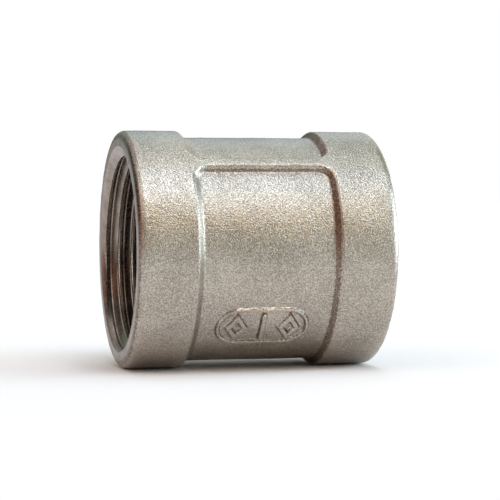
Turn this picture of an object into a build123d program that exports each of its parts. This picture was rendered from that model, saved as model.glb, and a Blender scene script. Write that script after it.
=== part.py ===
from build123d import *
from build123d.topology import SkipClean
import os
from math import ceil, cos, radians, sin, tan

# One-inch stainless pipe coupling: a single casting, faced, bored and tapped from both ends.
# Frame: bore axis along +X, +Z up, origin at the middle of the bore. All sizes are in mm.
# Angles round the bore are counted from +Y towards +Z.

# Outside of the casting
LENGTH = 42.7
BAND_RADIUS = 19.75
BAND_WIDTH = 9.1
WAIST_RADIUS = 18.65
STEP_LENGTH = 1.95
STEP_SLOPE = 45.0
RIM_ROUND = 1.2
SHOULDER_ROUND = 0.5
FOOT_ROUND = 0.45

# Two lengthwise ribs that join the bands, flush with them
RIB_ANGLE = 132.4
RIB_TOP_WIDTH = 2.2
RIB_DRAFT = 14.0
PANEL_CORNER_ROUND = 1.8

# Raised oval cartouche in the middle of one panel, with three plain marks in it
CARTOUCHE_ANGLE = 220.5
CARTOUCHE_SHIFT = -0.3
CARTOUCHE_LENGTH = 15.5
CARTOUCHE_HEIGHT = 7.6
CARTOUCHE_RIM = 0.6
RAISED_BY = 0.4
ROOTED_BY = 1.0
MARK_HEIGHT = 5.7
MARK_WIDTH = 3.8
MARK_STROKE = 0.9
MARK_SPACING = 4.35

# Pipe thread at each end: 1 inch parallel, 11 turns to the inch, 55 degrees between its flanks,
# with flats in place of the rounded crests and roots
THREAD_PITCH = 25.4 / 11
THREAD_MAJOR_RADIUS = 33.249 / 2
THREAD_MINOR_RADIUS = 30.291 / 2
THREAD_HALF_ANGLE = 27.5
THREAD_ROOT_FLAT = THREAD_PITCH / 6
THREADED_DEPTH = 18.0
MOUTH_RADIUS = 16.9
MIDDLE_BORE_RADIUS = 16.9
BORE_SEAM_ANGLE = 30.0

HALF_LENGTH = LENGTH / 2
RADIAL_DROP = BAND_RADIUS - WAIST_RADIUS
CLEARANCE = 1.0
GROOVE_OVERLAP = 0.3
GROOVE_LEAD_IN = 0.6
NEAR = 0.02


def across(angle, distance):
    """Point at a distance from the bore axis, in the direction of an angle round it."""
    return Vector(0, distance * cos(radians(angle)), distance * sin(radians(angle)))


def bar_on_axis(radius, start, end):
    """Round bar on the bore axis, between two places along it."""
    return Pos((start + end) / 2, 0, 0) * Rot(0, 90, 0) * Cylinder(radius, end - start)


def at_radius(edges, radius):
    """The edges whose middle is at a distance from the bore axis."""
    def off_axis(edge):
        middle = edge @ 0.5
        return Vector(0, middle.Y, middle.Z).length

    return [edge for edge in edges if abs(off_axis(edge) - radius) < NEAR]


def barrel():
    """The outside at band size from end to end, with both rims rounded."""
    bar = bar_on_axis(BAND_RADIUS, -HALF_LENGTH, HALF_LENGTH)
    return fillet(bar.edges().filter_by(GeomType.CIRCLE), RIM_ROUND)


def waist_ring():
    """The metal missing between the bands, as a full ring with sloping ends."""
    slope = tan(radians(STEP_SLOPE))
    floor_half = HALF_LENGTH - BAND_WIDTH - (STEP_LENGTH + RADIAL_DROP * slope) / 2
    top_half = floor_half + (RADIAL_DROP + CLEARANCE) * slope
    top = BAND_RADIUS + CLEARANCE
    floor = [(-floor_half, WAIST_RADIUS), (floor_half, WAIST_RADIUS)]
    corners = floor + [(top_half, top), (-top_half, top)]
    return revolve(Polygon(*corners, align=None), axis=Axis.X)


def rib_slab():
    """Slab through the bore axis that keeps both ribs; it widens from each rib to the axis."""
    lean = tan(radians(RIB_DRAFT))
    top = BAND_RADIUS + CLEARANCE
    narrow = RIB_TOP_WIDTH / 2 - CLEARANCE * lean
    wide = RIB_TOP_WIDTH / 2 + BAND_RADIUS * lean
    one_side = [(top, narrow), (0, wide), (-top, narrow)]
    corners = one_side + [(x, -y) for x, y in reversed(one_side)]
    plane = Plane(origin=(0, 0, 0), x_dir=across(RIB_ANGLE, 1), z_dir=(1, 0, 0))
    return extrude(plane * Polygon(*corners, align=None), HALF_LENGTH, both=True)


def panel_pockets():
    """Both panels' pockets, with their corners and the foot of their walls rounded."""
    pockets = waist_ring() - rib_slab()
    corners = pockets.edges().filter_by(GeomType.HYPERBOLA)
    pockets = fillet(corners, PANEL_CORNER_ROUND)
    return fillet(at_radius(pockets.edges(), WAIST_RADIUS), FOOT_ROUND)


def casting():
    """Barrel with its two waist panels sunk between bands and ribs, their shoulders rounded."""
    solid = barrel() - panel_pockets()
    between_rims = [edge for edge in solid.edges() if abs((edge @ 0.5).X) < HALF_LENGTH - BAND_WIDTH / 2]
    shoulders = at_radius(between_rims, BAND_RADIUS)
    return fillet(shoulders, SHOULDER_ROUND)


def lozenge_mark():
    """Plain hollow lozenge."""
    across_half = MARK_WIDTH / 2
    up_half = MARK_HEIGHT / 2
    outer = Polygon((across_half, 0), (0, up_half), (-across_half, 0), (0, -up_half))
    return outer - offset(outer, -MARK_STROKE, kind=Kind.INTERSECTION)


def cartouche():
    """Oval rim with a lozenge, a bar and a lozenge inside it, raised from the waist."""
    outer = SlotOverall(CARTOUCHE_LENGTH, CARTOUCHE_HEIGHT)
    outline = outer - offset(outer, -CARTOUCHE_RIM)
    outline += Rectangle(MARK_STROKE, MARK_HEIGHT)
    for side in (-1, 1):
        outline += Pos(side * MARK_SPACING, 0) * lozenge_mark()
    base = across(CARTOUCHE_ANGLE, WAIST_RADIUS - ROOTED_BY) + Vector(CARTOUCHE_SHIFT, 0, 0)
    plane = Plane(origin=base, x_dir=(1, 0, 0), z_dir=across(CARTOUCHE_ANGLE, 1))
    prism = extrude(plane * outline, ROOTED_BY + RAISED_BY + CLEARANCE)
    return prism & bar_on_axis(WAIST_RADIUS + RAISED_BY, -HALF_LENGTH, HALF_LENGTH)


def groove_turn():
    """One turn of the thread groove, wound about +Z and starting at Z = 0."""
    depth = THREAD_MAJOR_RADIUS - THREAD_MINOR_RADIUS
    slope = tan(radians(THREAD_HALF_ANGLE))
    root_half = THREAD_ROOT_FLAT / 2
    mouth_half = root_half + (depth + GROOVE_OVERLAP) * slope
    path = Helix(THREAD_PITCH, THREAD_PITCH, THREAD_MINOR_RADIUS)
    corners = [
        (-GROOVE_OVERLAP, mouth_half),
        (depth, root_half),
        (depth, -root_half),
        (-GROOVE_OVERLAP, -mouth_half),
    ]
    plane = Plane(origin=path @ 0, x_dir=(1, 0, 0), z_dir=path % 0)
    return sweep(plane * Polygon(*corners, align=None), path=path, is_frenet=True)


def thread_cuts(end_plane):
    """The groove turns of one end, from just outside the mouth to just inside the wide middle."""
    turn = groove_turn()
    turns = ceil(THREADED_DEPTH / THREAD_PITCH + GROOVE_LEAD_IN + 1)
    starts = [(count - GROOVE_LEAD_IN) * THREAD_PITCH for count in range(turns)]
    return [end_plane * Pos(0, 0, start) * turn for start in starts]


def countersink(end_plane):
    """Cone that opens one mouth, reaching past the end face and past the thread crests."""
    low = -CLEARANCE
    high = MOUTH_RADIUS - THREAD_MINOR_RADIUS + CLEARANCE
    from_base = (Align.CENTER, Align.CENTER, Align.MIN)
    cone = Cone(MOUTH_RADIUS - low, MOUTH_RADIUS - high, high - low, align=from_base)
    return end_plane * Pos(0, 0, low) * cone


def quarter_bore(quarter):
    """A quarter turn of the bore at the thread's minor radius, past both ends and from seam to seam."""
    length = LENGTH + 2 * CLEARANCE
    about_axis = (Align.NONE, Align.NONE, Align.CENTER)
    wedge = Cylinder(THREAD_MINOR_RADIUS, length, arc_size=90, align=about_axis)
    return Rot(90 * quarter + BORE_SEAM_ANGLE, 0, 0) * Rot(0, 90, 0) * wedge


def coupling_body():
    """The casting with its cartouche, bored, widened in the middle, tapped and countersunk."""
    middle_half = HALF_LENGTH - THREADED_DEPTH
    ends = [Plane(origin=(side * HALF_LENGTH, 0, 0), z_dir=(-side, 0, 0)) for side in (-1, 1)]
    cuts = [quarter_bore(quarter) for quarter in range(4)]
    cuts += [bar_on_axis(MIDDLE_BORE_RADIUS, -middle_half, middle_half)]
    for end_plane in ends:
        cuts += thread_cuts(end_plane) + [countersink(end_plane)]
    solid = casting() + cartouche()
    # Faces stay unmerged here, so that each turn of a thread crest is four separate faces.
    with SkipClean():
        for cut in cuts:
            solid -= cut
    return solid.solid()


os.makedirs("parts", exist_ok=True)
body = coupling_body()
body.label = "coupling_body"
export_step(body, "parts/coupling_body.step")
print("coupling_body", round(body.volume, 1), body.is_valid, body.bounding_box())
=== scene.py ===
import math

import bpy
import numpy as np
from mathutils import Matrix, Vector


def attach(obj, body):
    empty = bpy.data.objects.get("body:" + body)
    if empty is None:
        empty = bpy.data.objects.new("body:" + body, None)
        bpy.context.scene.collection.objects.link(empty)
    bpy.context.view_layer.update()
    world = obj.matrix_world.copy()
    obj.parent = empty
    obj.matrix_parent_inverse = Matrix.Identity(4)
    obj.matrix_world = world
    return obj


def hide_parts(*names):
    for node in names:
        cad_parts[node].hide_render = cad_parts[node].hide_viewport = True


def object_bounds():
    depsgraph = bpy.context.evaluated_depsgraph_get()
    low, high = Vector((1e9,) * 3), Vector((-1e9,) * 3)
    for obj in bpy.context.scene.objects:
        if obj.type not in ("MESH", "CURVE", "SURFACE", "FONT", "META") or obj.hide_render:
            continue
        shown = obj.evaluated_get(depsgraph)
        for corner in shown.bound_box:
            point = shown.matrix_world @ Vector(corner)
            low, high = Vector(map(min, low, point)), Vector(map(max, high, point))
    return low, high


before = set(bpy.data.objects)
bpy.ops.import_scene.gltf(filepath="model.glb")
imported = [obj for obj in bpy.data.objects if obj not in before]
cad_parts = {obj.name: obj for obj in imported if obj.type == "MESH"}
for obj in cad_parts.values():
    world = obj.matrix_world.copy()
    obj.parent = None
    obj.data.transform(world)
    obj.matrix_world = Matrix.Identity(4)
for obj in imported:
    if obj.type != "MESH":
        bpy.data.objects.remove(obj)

cad_low, cad_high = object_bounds()

# The coupling's sizes, in mm, with angles in degrees round the bore from +Y towards +Z.
# Length and band radius come from the frame.
MM = 0.001
LENGTH = (cad_high.x - cad_low.x) / MM
BAND_RADIUS = (cad_high.z - cad_low.z) / 2 / MM
HALF_LENGTH = LENGTH / 2
BAND_WIDTH = 9.1
WAIST_RADIUS = 18.65
STEP_LENGTH = 1.95
STEP_SLOPE = 45.0
SHOULDER_ROUND = 0.5
FOOT_ROUND = 0.45
RIM_ROUND = 1.2

# The lengthwise ribs, on the upper front and the lower back
RIB_ANGLE = 132.4
RIB_TOP_WIDTH = 2.2
RIB_WALL_SLOPE = 76.0
RIB_SHOULDER_ROUND = 0.8
PANEL_CORNER = 2.3

# The oval cartouche on the front panel, with a lozenge, a bar and a second lozenge in it
CARTOUCHE_ANGLE = 220.5
CARTOUCHE_SHIFT = -0.3
CARTOUCHE_LENGTH = 15.5
CARTOUCHE_HEIGHT = 7.6
CARTOUCHE_RIM = 0.62
CARTOUCHE_RIM_EDGE = 0.32
CARTOUCHE_RIM_RAISED_BY = 0.45
MARK_RAISED_BY = 0.60
MARK_HEIGHT = 5.7
MARK_WIDTH = 3.8
MARK_STROKE = 0.9
MARK_EDGE = 0.36
MARK_SPACING = 4.35

# The bore. Thread crests and roots are rounded by a share of the pitch, as in the 55 degree form.
THREAD_PITCH = 25.4 / 11
THREAD_MAJOR_RADIUS = 33.249 / 2
THREAD_MINOR_RADIUS = 30.291 / 2
THREAD_HALF_ANGLE = 27.5
TIP_ROUND = 0.137329
THREADED_DEPTH = 18.0
THREAD_START_TURN = 0.57
MOUTH_RADIUS = 16.9
MIDDLE_BORE_RADIUS = 16.9
EDGE_BREAK = 0.05

# Mesh fineness, as distances between vertices
BASE_SPACING = 1.4
FINE_SPACING = 0.145
RIB_WALL_REACH = 0.65
RIB_SPACING = 0.10
STEP_SPACING = 0.14
BAND_SPACING = 0.62
PANEL_SPACING = 0.40
MARKS_SPACING = 0.15

# Material slots on the mesh
CAST, FACED, THREADED = range(3)


# Small shape functions

def smooth_step(value):
    """0 below 0, 1 above 1, with a smooth rise between them."""
    value = np.clip(value, 0.0, 1.0)
    return value * value * (3 - 2 * value)


def wrap_degrees(angle):
    """The same angle between -180 and 180."""
    return (angle + 180.0) % 360.0 - 180.0


def unevenness(points, wavelength, seed):
    """Smooth random waves of about one wavelength through space, mostly between -1.5 and 1.5."""
    rng = np.random.default_rng(seed)
    count = 28
    ways = rng.normal(size=(count, 3))
    ways /= np.linalg.norm(ways, axis=1)[:, None]
    waves = ways * (2 * math.pi / wavelength * rng.uniform(0.6, 1.5, count))[:, None]
    phases = rng.uniform(0, 2 * math.pi, count)
    return np.sin(points @ waves.T + phases).sum(axis=-1) / math.sqrt(count)


def spaced(low, high, spacing_at):
    """Places from low to high whose spacing follows a function of place."""
    fine = np.linspace(low, high, 4000)
    density = 1.0 / spacing_at(fine)
    running = np.concatenate([[0.0], np.cumsum((density[1:] + density[:-1]) / 2 * np.diff(fine))])
    count = max(2, int(round(running[-1])))
    return np.interp(np.linspace(0, running[-1], count + 1), running, fine)


# Outside surface

def wall_fall(inside, slope, shoulder):
    """Fall of a sloping wall with a rounded shoulder and foot, at a distance inside its middle."""
    drop = BAND_RADIUS - WAIST_RADIUS
    half = drop / np.tan(slope) / 2
    shoulder_start = -half - shoulder * np.tan(slope / 2)
    foot_end = half + FOOT_ROUND * np.tan(slope / 2)

    def rounded(distance, radius):
        reach = radius * np.sin(slope)
        on_arc = np.clip(distance, 0.0, reach)
        past_arc = np.maximum(distance - reach, 0.0)
        return radius - np.sqrt(radius ** 2 - on_arc ** 2) + past_arc * np.tan(slope)

    from_top = rounded(inside - shoulder_start, shoulder)
    from_foot = rounded(foot_end - inside, FOOT_ROUND)
    return np.where(inside < 0, from_top, drop - from_foot)


def panel_fall(x, angle):
    """How far the surface lies below the bands, over the two panels."""
    drop = BAND_RADIUS - WAIST_RADIUS
    rib_half = RIB_TOP_WIDTH / 2 + drop / math.tan(math.radians(RIB_WALL_SLOPE)) / 2
    fall = np.zeros(np.broadcast(x, angle).shape)
    for panel_angle in (RIB_ANGLE + 90, RIB_ANGLE - 90):
        sideways = np.radians(wrap_degrees(angle - panel_angle)) * BAND_RADIUS
        in_x = HALF_LENGTH - BAND_WIDTH - STEP_LENGTH / 2 - np.abs(x)
        in_s = math.pi / 2 * BAND_RADIUS - rib_half - np.abs(sideways)
        from_x = np.maximum(PANEL_CORNER - in_x, 0.0)
        from_s = np.maximum(PANEL_CORNER - in_s, 0.0)
        reach = np.hypot(from_x, from_s)
        share = (from_x / np.maximum(reach, 1e-9)) ** 2
        slope = np.radians(share * STEP_SLOPE + (1 - share) * RIB_WALL_SLOPE)
        shoulder = share * SHOULDER_ROUND + (1 - share) * RIB_SHOULDER_ROUND
        fall = np.maximum(fall, wall_fall(PANEL_CORNER - reach, slope, shoulder))
    return fall


def stadium_distance(x, s, length, height):
    """Signed distance to a stadium outline, negative inside."""
    radius = height / 2
    beyond = np.maximum(np.abs(x) - (length / 2 - radius), 0.0)
    return np.hypot(beyond, s) - radius


def lozenge_distance(x, s):
    """Signed distance to the mark's lozenge outline, negative inside."""
    half_w = MARK_WIDTH / 2
    half_h = MARK_HEIGHT / 2
    return (np.abs(x) * half_h + np.abs(s) * half_w - half_w * half_h) / math.hypot(half_w, half_h)


def cartouche_shares(x, angle):
    """How far the oval rim and its three marks have risen, each from 0 to 1."""
    x = x - CARTOUCHE_SHIFT
    s = np.radians(wrap_degrees(angle - CARTOUCHE_ANGLE)) * WAIST_RADIUS
    edge = stadium_distance(x, s, CARTOUCHE_LENGTH, CARTOUCHE_HEIGHT)
    rim = np.abs(edge + CARTOUCHE_RIM / 2) - CARTOUCHE_RIM / 2
    bar_out = np.abs(s) - (MARK_HEIGHT - MARK_STROKE) / 2
    marks = np.hypot(x, np.maximum(bar_out, 0.0)) - MARK_STROKE / 2
    for side in (-1, 1):
        outline = lozenge_distance(x - side * MARK_SPACING, s)
        marks = np.minimum(marks, np.abs(outline + MARK_STROKE / 2) - MARK_STROKE / 2)
    return smooth_step(0.5 - rim / CARTOUCHE_RIM_EDGE), smooth_step(0.5 - marks / MARK_EDGE)


def cartouche_height(x, angle):
    """Height of the oval rim and its three marks above the waist."""
    rim, marks = cartouche_shares(x, angle)
    return np.maximum(CARTOUCHE_RIM_RAISED_BY * rim, MARK_RAISED_BY * marks)


def cast_radius(x, angle):
    """Radius of the as-cast outside, with the slight waviness of a casting."""
    x, angle = np.broadcast_arrays(x, angle)
    radius = BAND_RADIUS - panel_fall(x, angle)
    radius = radius + cartouche_height(x, angle)
    points = np.stack([x, radius * np.cos(np.radians(angle)), radius * np.sin(np.radians(angle))], axis=-1)
    waves = 0.022 * unevenness(points, 9.0, 11) + 0.010 * unevenness(points, 3.2, 12)
    waves = waves + 0.005 * unevenness(points, 1.3, 13)
    return radius + waves


def cast_grime(x, angle):
    """Oxide and painted shade, 0 to 1: painted shade on the panel, rib and step walls, kept off the left
    step that faces the light; oxide with painted shade round the edges of the oval rim and the marks.
    """
    fallen = panel_fall(x, angle) / (BAND_RADIUS - WAIST_RADIUS)
    rim, marks = cartouche_shares(x, angle)
    on_step = smooth_step(np.abs(x) - (HALF_LENGTH - BAND_WIDTH - STEP_LENGTH - 1.0))
    starts_at = 0.38 - 0.28 * on_step
    # Painted shade on the walls of the panels, ribs and steps; the left step, which faces the light, gets
    # little of it.
    on_wall = smooth_step((fallen - starts_at) / 0.2) * smooth_step((0.98 - fallen) / 0.15)
    # Oxide with painted shade along the edges of the oval rim and the marks.
    on_edge = np.maximum(4 * rim * (1 - rim), 4 * marks * (1 - marks))
    on_left_step = on_step * (x < 0)
    return np.maximum(on_wall * (1 - 0.9 * on_left_step), on_edge)


# Mesh building: rings of vertices round the bore, joined into one closed skin

class Skin:
    """Rings round the bore, with an amount of oxide and painted shade at each vertex, and the faces between
    them.
    """

    def __init__(self, angles):
        self.angles = angles
        self.points = []
        self.grime = []
        self.faces = []
        self.slots = []

    def ring(self, x, radius, grime=0.0):
        """Add a ring and return its vertex numbers."""
        x, radius, grime = np.broadcast_arrays(x, radius, grime, self.angles)[:3]
        turn = np.radians(self.angles)
        first = sum(len(block) for block in self.points)
        self.points.append(np.stack([x, radius * np.cos(turn), radius * np.sin(turn)], axis=-1))
        self.grime.append(grime)
        return np.arange(first, first + len(self.angles))

    def join(self, ring_a, ring_b, slot, wrap_a=None, wrap_b=None):
        """Faces between two rings. The last face can close onto other rings, for a helix."""
        wrap_a = ring_a if wrap_a is None else wrap_a
        wrap_b = ring_b if wrap_b is None else wrap_b
        next_a = np.append(ring_a[1:], wrap_a[0])
        next_b = np.append(ring_b[1:], wrap_b[0])
        self.faces.append(np.stack([ring_a, next_a, next_b, ring_b], axis=-1))
        self.slots.append(np.full(len(ring_a), slot))

    def joined(self, rings, slot):
        """Faces between each ring and the next."""
        for ring_a, ring_b in zip(rings, rings[1:]):
            self.join(ring_a, ring_b, slot)

    def mesh(self, name):
        """One mesh with coinciding vertices merged and collapsed faces left out."""
        points = np.concatenate(self.points)
        faces = np.concatenate(self.faces)
        slots = np.concatenate(self.slots)
        rounded = np.round(points * 1e5).astype(np.int64)
        _, first, merged = np.unique(rounded, axis=0, return_index=True, return_inverse=True)
        faces = merged.reshape(-1)[faces]
        kept_faces = []
        kept_slots = []
        for face, slot in zip(faces.tolist(), slots.tolist()):
            corners = [corner for place, corner in enumerate(face) if corner != face[place - 1]]
            if len(set(corners)) >= 3:
                kept_faces.append(corners)
                kept_slots.append(slot)
        mesh = bpy.data.meshes.new(name)
        mesh.from_pydata((points[first] * MM).tolist(), [], kept_faces)
        mesh.polygons.foreach_set("material_index", kept_slots)
        # This attribute holds the oxide and painted shade that the materials darken by.
        grime = mesh.attributes.new("grime", "FLOAT", "POINT")
        grime.data.foreach_set("value", np.concatenate(self.grime)[first])
        mesh.update()
        return mesh


def column_angles():
    """Angles of the mesh columns, close together at the ribs and over the cartouche."""
    rib_half = RIB_TOP_WIDTH / 2 + 0.15
    cartouche_half = CARTOUCHE_HEIGHT / 2 + 0.3

    def spacing(angle):
        away = np.full(angle.shape, BASE_SPACING)
        from_cartouche = np.abs(np.radians(wrap_degrees(angle - CARTOUCHE_ANGLE))) * WAIST_RADIUS
        fade = smooth_step((from_cartouche - cartouche_half) / 2.0)
        away = np.minimum(away, FINE_SPACING + (BASE_SPACING - FINE_SPACING) * fade)
        for rib in (RIB_ANGLE, RIB_ANGLE + 180):
            from_rib = np.abs(np.radians(wrap_degrees(angle - rib))) * BAND_RADIUS
            from_wall = np.abs(from_rib - rib_half)
            fade = smooth_step((from_wall - RIB_WALL_REACH) / 2.0)
            away = np.minimum(away, RIB_SPACING + (BASE_SPACING - RIB_SPACING) * fade)
        return away / (math.pi / 180 * BAND_RADIUS)

    return spaced(0.0, 360.0, spacing)[:-1]


def row_places():
    """Places along the bore of the outside rings, close together at the steps."""
    step_middle = HALF_LENGTH - BAND_WIDTH - STEP_LENGTH / 2

    def spacing(x):
        from_step = np.abs(np.abs(x) - step_middle)
        fade = smooth_step((from_step - STEP_LENGTH / 2) / 2.0)
        coarse = np.where(np.abs(x) < step_middle, PANEL_SPACING, BAND_SPACING)
        by_step = STEP_SPACING + (coarse - STEP_SPACING) * fade
        over_marks = np.abs(x - CARTOUCHE_SHIFT) < CARTOUCHE_LENGTH / 2 + 0.2
        return np.where(over_marks, np.minimum(by_step, MARKS_SPACING), by_step)

    end = HALF_LENGTH - RIM_ROUND
    return spaced(-end, end, spacing)


def rim_rings(skin, side):
    """Rings of one rounded rim, from the band to the ragged edge of the machined end face."""
    turn = np.radians(skin.angles)
    points = np.stack([np.cos(turn), np.sin(turn), np.full(len(turn), side)], axis=-1)
    ragged = 0.06 * unevenness(points, 0.10, 21) + 0.07 * unevenness(points, 0.03, 22)
    band = cast_radius(side * (HALF_LENGTH - RIM_ROUND), skin.angles)
    edge = BAND_RADIUS - RIM_ROUND + ragged
    rings = []
    for step in np.linspace(0, math.pi / 2, 9)[1:]:
        x = side * (HALF_LENGTH - RIM_ROUND * (1 - math.sin(step)))
        # The rim darkens towards the machined end face.
        grime = smooth_step((math.degrees(step) - 25) / 50)
        rings.append(skin.ring(x, edge + (band - edge) * math.cos(step), grime))
    return rings


def face_rings(skin, side):
    """Rings across one machined end face, from its outer edge to the broken inner edge."""
    outer = BAND_RADIUS - RIM_ROUND - 0.35
    inner = MOUTH_RADIUS + EDGE_BREAK
    return [skin.ring(side * HALF_LENGTH, radius) for radius in np.linspace(outer, inner, 4)]


def thread_phases():
    """Places and radii of the lines that follow the thread, over one pitch from root to root."""
    flank_turn = 90 - THREAD_HALF_ANGLE
    root = [math.radians(turn) for turn in (0, 0.5 * flank_turn, flank_turn)]
    crest = [math.radians(turn) for turn in (flank_turn, 0.68 * flank_turn, 0.34 * flank_turn, 0)]
    deep = (THREAD_MAJOR_RADIUS - THREAD_MINOR_RADIUS) / THREAD_PITCH
    rise = [(TIP_ROUND * math.sin(turn), TIP_ROUND * (1 - math.cos(turn))) for turn in root]
    rise += [(0.5 - TIP_ROUND * math.sin(turn), deep - TIP_ROUND * (1 - math.cos(turn))) for turn in crest]
    fall = [(1 - place, height) for place, height in reversed(rise[1:-1])]
    places, heights = zip(*(rise + fall))
    return np.array(places), THREAD_MAJOR_RADIUS - THREAD_PITCH * np.array(heights)


def thread_rings(skin, side):
    """Rings that follow one thread from the countersink to the wide middle, and its pitch count."""
    places, radii = thread_phases()
    per_pitch = len(places)
    start = MOUTH_RADIUS - THREAD_MAJOR_RADIUS
    turn = skin.angles / 360.0
    if side > 0:
        turn = 1.0 - turn
    turn = turn + THREAD_START_TURN
    pitches = math.ceil((THREADED_DEPTH - start) / THREAD_PITCH) + 3
    rings = []
    for line in range(per_pitch * pitches):
        phase = line // per_pitch - 2.0 + places[line % per_pitch]
        depth = np.clip(start + (phase + turn) * THREAD_PITCH, start, THREADED_DEPTH)
        at_phase = ((depth - start) / THREAD_PITCH - turn) % 1.0
        thread = np.interp(at_phase, np.append(places, 1.0), np.append(radii, radii[0]))
        radius = np.maximum(thread, MOUTH_RADIUS - depth)
        rings.append(skin.ring(side * (HALF_LENGTH - depth), radius))
    return rings, per_pitch


def join_thread(skin, rings, per_pitch, side):
    """Faces between thread lines. Round the last column a line meets the one a pitch away."""
    last = len(rings) - 1
    shift = -side * per_pitch
    for line in range(last):
        pair = [(rings[place], rings[min(max(place + shift, 0), last)]) for place in (line, line + 1)]
        (ring_a, wrap_a), (ring_b, wrap_b) = pair[::side]
        skin.join(ring_a, ring_b, THREADED, wrap_a, wrap_b)


def coupling_mesh():
    """The whole coupling as one closed mesh."""
    skin = Skin(column_angles())
    outside = [skin.ring(x, cast_radius(x, skin.angles), cast_grime(x, skin.angles)) for x in row_places()]
    skin.joined(outside, CAST)
    thread_ends = []
    for side, band_ring in ((-1, outside[0]), (1, outside[-1])):
        rim = rim_rings(skin, side)
        face = face_rings(skin, side)
        sink = [skin.ring(side * (HALF_LENGTH - EDGE_BREAK), MOUTH_RADIUS - EDGE_BREAK * 0.6)]
        thread, per_pitch = thread_rings(skin, side)
        skin.joined(([band_ring] + rim)[::side], CAST)
        skin.joined(([rim[-1]] + face)[::side], FACED)
        skin.joined(([face[-1]] + sink + [thread[0]])[::side], FACED)
        join_thread(skin, thread, per_pitch, side)
        thread_ends.append(thread[-1])
    middle_half = HALF_LENGTH - THREADED_DEPTH
    middle = [skin.ring(x, MIDDLE_BORE_RADIUS) for x in np.linspace(middle_half, -middle_half, 6)]
    skin.joined([thread_ends[1]] + middle + [thread_ends[0]], THREADED)
    return skin.mesh("coupling_mesh")


# Material building

class Shader:
    """A material's nodes, with short calls for the ones used here."""

    def __init__(self, name):
        self.material = bpy.data.materials.new(name)
        self.material.use_nodes = True
        self.tree = self.material.node_tree
        self.surface = self.tree.nodes["Principled BSDF"]
        coords = self.tree.nodes.new("ShaderNodeTexCoord")
        self.place = coords.outputs["Object"]

    def node(self, kind, inputs=(), **settings):
        """A new node with its settings, its links and its fixed inputs."""
        node = self.tree.nodes.new(kind)
        for name, value in settings.items():
            setattr(node, name, value)
        for name, value in dict(inputs).items():
            self.feed(node.inputs[name], value)
        return node

    def feed(self, socket, value):
        """Link an output to a socket, or set the socket's own value."""
        if isinstance(value, bpy.types.NodeSocket):
            self.tree.links.new(value, socket)
        else:
            socket.default_value = value

    def noise(self, size_mm, detail=3.0, place=None):
        """Noise with a feature size in mm."""
        settings = {"Vector": place or self.place, "Scale": 1 / (size_mm * MM), "Detail": detail}
        return self.node("ShaderNodeTexNoise", settings).outputs["Fac"]

    def blend(self, low, high, value, start, end):
        """A number that goes from one value to another as its input goes from start to end."""
        inputs = {"Value": value, "From Min": start, "From Max": end, "To Min": low, "To Max": high}
        return self.node("ShaderNodeMapRange", inputs).outputs["Result"]

    def ramp(self, value, stops):
        """Colour ramp from (place, colour) stops."""
        node = self.node("ShaderNodeValToRGB", {"Fac": value})
        elements = node.color_ramp.elements
        while len(elements) < len(stops):
            elements.new(0.5)
        for element, (place, colour) in zip(elements, stops):
            element.position = place
            element.color = (*colour, 1.0)
        return node.outputs["Color"]

    def mixed(self, share, first, second):
        """One colour going over into another. Sockets 6 and 7 are the Mix node's two colours."""
        node = self.node("ShaderNodeMix", data_type="RGBA")
        self.feed(node.inputs[0], share)
        self.feed(node.inputs[6], first)
        self.feed(node.inputs[7], second)
        return node.outputs[2]

    def attribute(self, name):
        """A number stored on the mesh."""
        return self.node("ShaderNodeAttribute", attribute_name=name).outputs["Fac"]

    def maths(self, operation, first, second):
        """Result of one Math node."""
        node = self.node("ShaderNodeMath", operation=operation)
        self.feed(node.inputs[0], first)
        self.feed(node.inputs[1], second)
        return node.outputs["Value"]

    def bump(self, height, depth_mm, below=None, strength=1.0):
        """Bump of a real depth, on top of another bump if one is given."""
        inputs = {"Height": height, "Distance": depth_mm * MM, "Strength": strength}
        if below is not None:
            inputs["Normal"] = below
        return self.node("ShaderNodeBump", inputs).outputs["Normal"]

    def finished(self, colour, roughness, normal):
        """The material, as bare metal with this colour, roughness and normal."""
        self.feed(self.surface.inputs["Base Color"], colour)
        self.feed(self.surface.inputs["Roughness"], roughness)
        self.feed(self.surface.inputs["Normal"], normal)
        self.feed(self.surface.inputs["Metallic"], 1.0)
        return self.material


def with_oxide(shader, clean, size_mm):
    """The clean colour going over into a dark colour where the mesh's attribute asks for it: oxide, and
    painted shade on the walls and round the marks.
    """
    patches = shader.noise(size_mm, 4.0)
    # Dark colour for oxide and for painted shade.
    oxide = shader.ramp(patches, [(0.35, (0.30, 0.23, 0.18)), (0.60, (0.13, 0.09, 0.07))])
    patchy = shader.maths("ADD", shader.attribute("grime"), shader.blend(-0.4, 0.4, patches, 0.35, 0.65))
    share = shader.blend(0.0, 0.85, patchy, 0.45, 0.75)
    return shader.mixed(share, clean, oxide)


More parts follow.
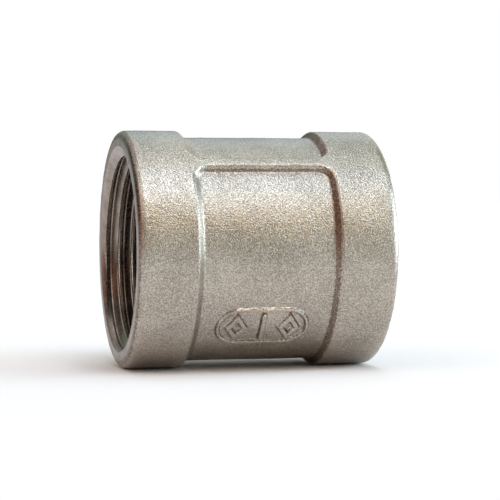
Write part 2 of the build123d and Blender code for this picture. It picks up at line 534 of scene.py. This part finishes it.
def cast_stainless():
    """Blasted and pickled casting: sparkling grain whose low spots are painted darker as painted shade,
    faint stains, and smoother walls darkened by oxide and painted shade.
    """
    shader = Shader("cast_stainless")
    stains = shader.noise(7.0, 4.0)
    mottle = shader.noise(0.9, 5.0)
    grain = shader.noise(0.25, 2.0)
    speckle = shader.noise(0.18, 1.0)
    pitting = {"Vector": shader.place, "Scale": 1 / (0.28 * MM), "Randomness": 0.8}
    pits = shader.node("ShaderNodeTexVoronoi", pitting).outputs["Distance"]
    # The colour follows the same noises as the bumps, so the low spots of the grain, speckle and pits are
    # painted darker: painted shade in the low spots, together with random tone.
    tone = shader.maths("MULTIPLY", stains, 0.15)
    for layer, weight in ((mottle, 0.05), (grain, 0.20), (speckle, 0.40), (pits, 0.20)):
        tone = shader.maths("ADD", tone, shader.maths("MULTIPLY", layer, weight))
    stops = [(0.40, (0.25, 0.22, 0.185)), (0.5, (0.41, 0.362, 0.308)), (0.60, (0.59, 0.53, 0.46))]
    colour = with_oxide(shader, shader.ramp(tone, stops), 0.35)
    roughness = shader.blend(0.30, 0.38, mottle, 0.3, 0.7)
    sharpness = shader.blend(1.0, 0.3, shader.attribute("grime"), 0.0, 0.1)
    normal = shader.bump(mottle, 0.015)
    normal = shader.bump(pits, 0.028, normal, sharpness)
    normal = shader.bump(grain, 0.062, normal, sharpness)
    normal = shader.bump(speckle, 0.036, normal, sharpness)
    return shader.finished(colour, roughness, normal)


def distance_from_axis(shader):
    """Distance from the bore axis, in metres."""
    flat = shader.node("ShaderNodeVectorMath", operation="MULTIPLY")
    shader.feed(flat.inputs[0], shader.place)
    shader.feed(flat.inputs[1], (0.0, 1.0, 1.0))
    length = shader.node("ShaderNodeVectorMath", operation="LENGTH")
    shader.feed(length.inputs[0], flat.outputs["Vector"])
    return length.outputs["Value"]


def turned_lines(shader, size_mm):
    """Fine lathe lines: noise that changes only along the bore and away from its axis."""
    parts = shader.node("ShaderNodeSeparateXYZ", {"Vector": shader.place})
    radius = distance_from_axis(shader)
    joined = shader.node("ShaderNodeCombineXYZ", {"X": parts.outputs["X"], "Y": radius})
    return shader.noise(size_mm, 3.0, joined.outputs["Vector"])


def machined_stainless(name, tones, smooth, rough):
    """Turned or tapped stainless, with fine lathe lines and faint stains."""
    shader = Shader(name)
    lines = turned_lines(shader, 0.12)
    stains = shader.noise(2.5, 4.0)
    clean = shader.ramp(stains, [(0.35, tones[0]), (0.65, tones[1])])
    roughness = shader.blend(smooth, rough, shader.noise(0.8, 3.0), 0.3, 0.7)
    normal = shader.bump(lines, 0.004)
    normal = shader.bump(shader.noise(0.5, 3.0), 0.004, normal)
    return shader.finished(with_oxide(shader, clean, 0.25), roughness, normal)


def plain_paper(name, colour):
    """Matt paper for the floor, with a faint grain."""
    shader = Shader(name)
    grain = shader.noise(1.5, 3.0)
    darker = tuple(value * 0.985 for value in colour)
    shader.feed(shader.surface.inputs["Base Color"], shader.ramp(grain, [(0.3, darker), (0.7, colour)]))
    shader.feed(shader.surface.inputs["Roughness"], 0.9)
    return shader.material


# The coupling. Each machined surface goes from its first tone to its second.

FACED_TONES = [(0.33, 0.27, 0.25), (0.41, 0.35, 0.32)]
THREADED_TONES = [(0.24, 0.20, 0.17), (0.36, 0.31, 0.27)]


def make_coupling():
    """The visual coupling, which stands for the CAD node."""
    mesh = coupling_mesh()
    coupling = bpy.data.objects.new("cast_coupling", mesh)
    bpy.context.scene.collection.objects.link(coupling)
    mesh.materials.append(cast_stainless())
    mesh.materials.append(machined_stainless("faced_stainless", FACED_TONES, 0.34, 0.48))
    mesh.materials.append(machined_stainless("threaded_stainless", THREADED_TONES, 0.24, 0.34))
    mesh.shade_smooth()
    mesh.set_sharp_from_angle(angle=math.radians(38))
    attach(coupling, "root")
    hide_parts("coupling_body")


# Stage, lights and camera, in metres and degrees

FLOOR_SIZE = 6.0


def make_floor():
    """Plain pale floor that the coupling lies on."""
    low = cad_low.z
    half = FLOOR_SIZE / 2
    mesh = bpy.data.meshes.new("floor_mesh")
    corners = [(-half, -half, low), (half, -half, low), (half, half, low), (-half, half, low)]
    mesh.from_pydata(corners, [], [(0, 1, 2, 3)])
    mesh.materials.append(plain_paper("floor_paper", (0.91, 0.87, 0.86)))
    floor = bpy.data.objects.new("floor", mesh)
    bpy.context.scene.collection.objects.link(floor)


def soft_light(name, azimuth, elevation, spread, strength, colour):
    """Round soft light far away. Azimuth 0 is in front, at -Y, and 90 is at +X."""
    data = bpy.data.lights.new(name, "SUN")
    data.angle = math.radians(spread)
    data.energy = strength
    data.color = colour
    light = bpy.data.objects.new(name, data)
    turn = math.radians(azimuth)
    rise = math.radians(elevation)
    away = Vector((math.sin(turn) * math.cos(rise), -math.cos(turn) * math.cos(rise), math.sin(rise)))
    light.rotation_mode = "QUATERNION"
    light.rotation_quaternion = away.to_track_quat("Z", "Y")
    bpy.context.scene.collection.objects.link(light)


def make_lights():
    """Bright soft light above, in front and on the right, and a dim brownish side on the left."""
    soft_light("front_floor", 13, 14, 26, 0.12, (0.8, 1.0, 0.8))
    soft_light("front_lowest", 13, 30, 24, 0.11, (1.0, 0.3, 0.05))
    soft_light("front_low", 13, 44, 24, 0.28, (1.0, 0.92, 0.5))
    soft_light("front_middle", 13, 58, 24, 0.66, (0.70, 0.82, 1.0))
    soft_light("front_high", 13, 72, 26, 0.50, (0.62, 0.77, 1.0))
    soft_light("top", 13, 88, 28, 0.33, (1.0, 0.97, 0.78))
    soft_light("back_high", 160, 72, 28, 0.32, (0.70, 0.74, 0.90))
    soft_light("back_middle", 165, 54, 28, 0.11, (0.82, 1.0, 0.74))
    soft_light("back_low", 165, 34, 30, 0.23, (0.65, 0.83, 1.0))
    soft_light("behind", 194, 14, 30, 0.08, (0.7, 1.0, 0.85))
    soft_light("back_left", 215, 50, 50, 0.32, (1.0, 1.0, 1.0))
    soft_light("right", 65, 22, 50, 2.2, (0.70, 0.87, 1.0))
    soft_light("right_side", 98, 5, 28, 2.3, (0.80, 0.92, 1.0))
    soft_light("right_high", 104, 56, 28, 0.14, (0.64, 1.0, 0.74))
    soft_light("right_back", 140, 20, 40, 0.36, (1.0, 0.97, 0.85))
    soft_light("left_high", -76, 52, 32, 0.32, (0.86, 0.96, 1.0))
    soft_light("left_front", -45, 40, 44, 0.46, (1.0, 0.80, 0.62))
    soft_light("left_wall", -80, 8, 70, 0.24, (1.0, 0.38, 0.27))
    soft_light("left_lamp", -76, 5, 5, 0.02, (1.0, 0.5, 0.15))


def make_world():
    """White background to the camera, which gives off only a little warm light."""
    world = bpy.data.worlds.new("studio")
    bpy.context.scene.world = world
    world.use_nodes = True
    nodes = world.node_tree.nodes
    links = world.node_tree.links
    dim = nodes["Background"]
    dim.inputs["Color"].default_value = (0.055, 0.035, 0.027, 1)
    seen = nodes.new("ShaderNodeBackground")
    seen.inputs["Color"].default_value = (1.0, 1.0, 1.0, 1)
    mix = nodes.new("ShaderNodeMixShader")
    path = nodes.new("ShaderNodeLightPath")
    links.new(path.outputs["Is Camera Ray"], mix.inputs["Fac"])
    links.new(dim.outputs["Background"], mix.inputs[1])
    links.new(seen.outputs["Background"], mix.inputs[2])
    links.new(mix.outputs["Shader"], nodes["World Output"].inputs["Surface"])


# The camera stands to the left of straight in front and a little above the middle. Lens in mm.
CAMERA_YAW = 13.86
CAMERA_RISE = 1.95
CAMERA_DISTANCE = 0.3184
CAMERA_LENS = 135.8
AIM_RIGHT = 0.00123
AIM_UP = -0.00024


def make_camera():
    """Long-lens camera low in front, a little to the left, so the left mouth shows."""
    data = bpy.data.cameras.new("camera")
    data.lens = CAMERA_LENS
    data.sensor_width = 36.0
    data.clip_start = 0.01
    data.clip_end = 20.0
    camera = bpy.data.objects.new("camera", data)
    turn = math.radians(CAMERA_YAW)
    rise = math.radians(CAMERA_RISE)
    back = Vector((-math.sin(turn) * math.cos(rise), -math.cos(turn) * math.cos(rise), math.sin(rise)))
    right = Vector((math.cos(turn), -math.sin(turn), 0.0))
    centre = (cad_low + cad_high) / 2
    camera.location = centre + back * CAMERA_DISTANCE
    aim = centre + right * AIM_RIGHT + Vector((0, 0, AIM_UP))
    camera.rotation_mode = "QUATERNION"
    camera.rotation_quaternion = (camera.location - aim).to_track_quat("Z", "Y")
    bpy.context.scene.collection.objects.link(camera)
    bpy.context.scene.camera = camera


make_coupling()
make_floor()
make_lights()
make_world()
make_camera()
bpy.context.scene.view_settings.view_transform = "Standard"
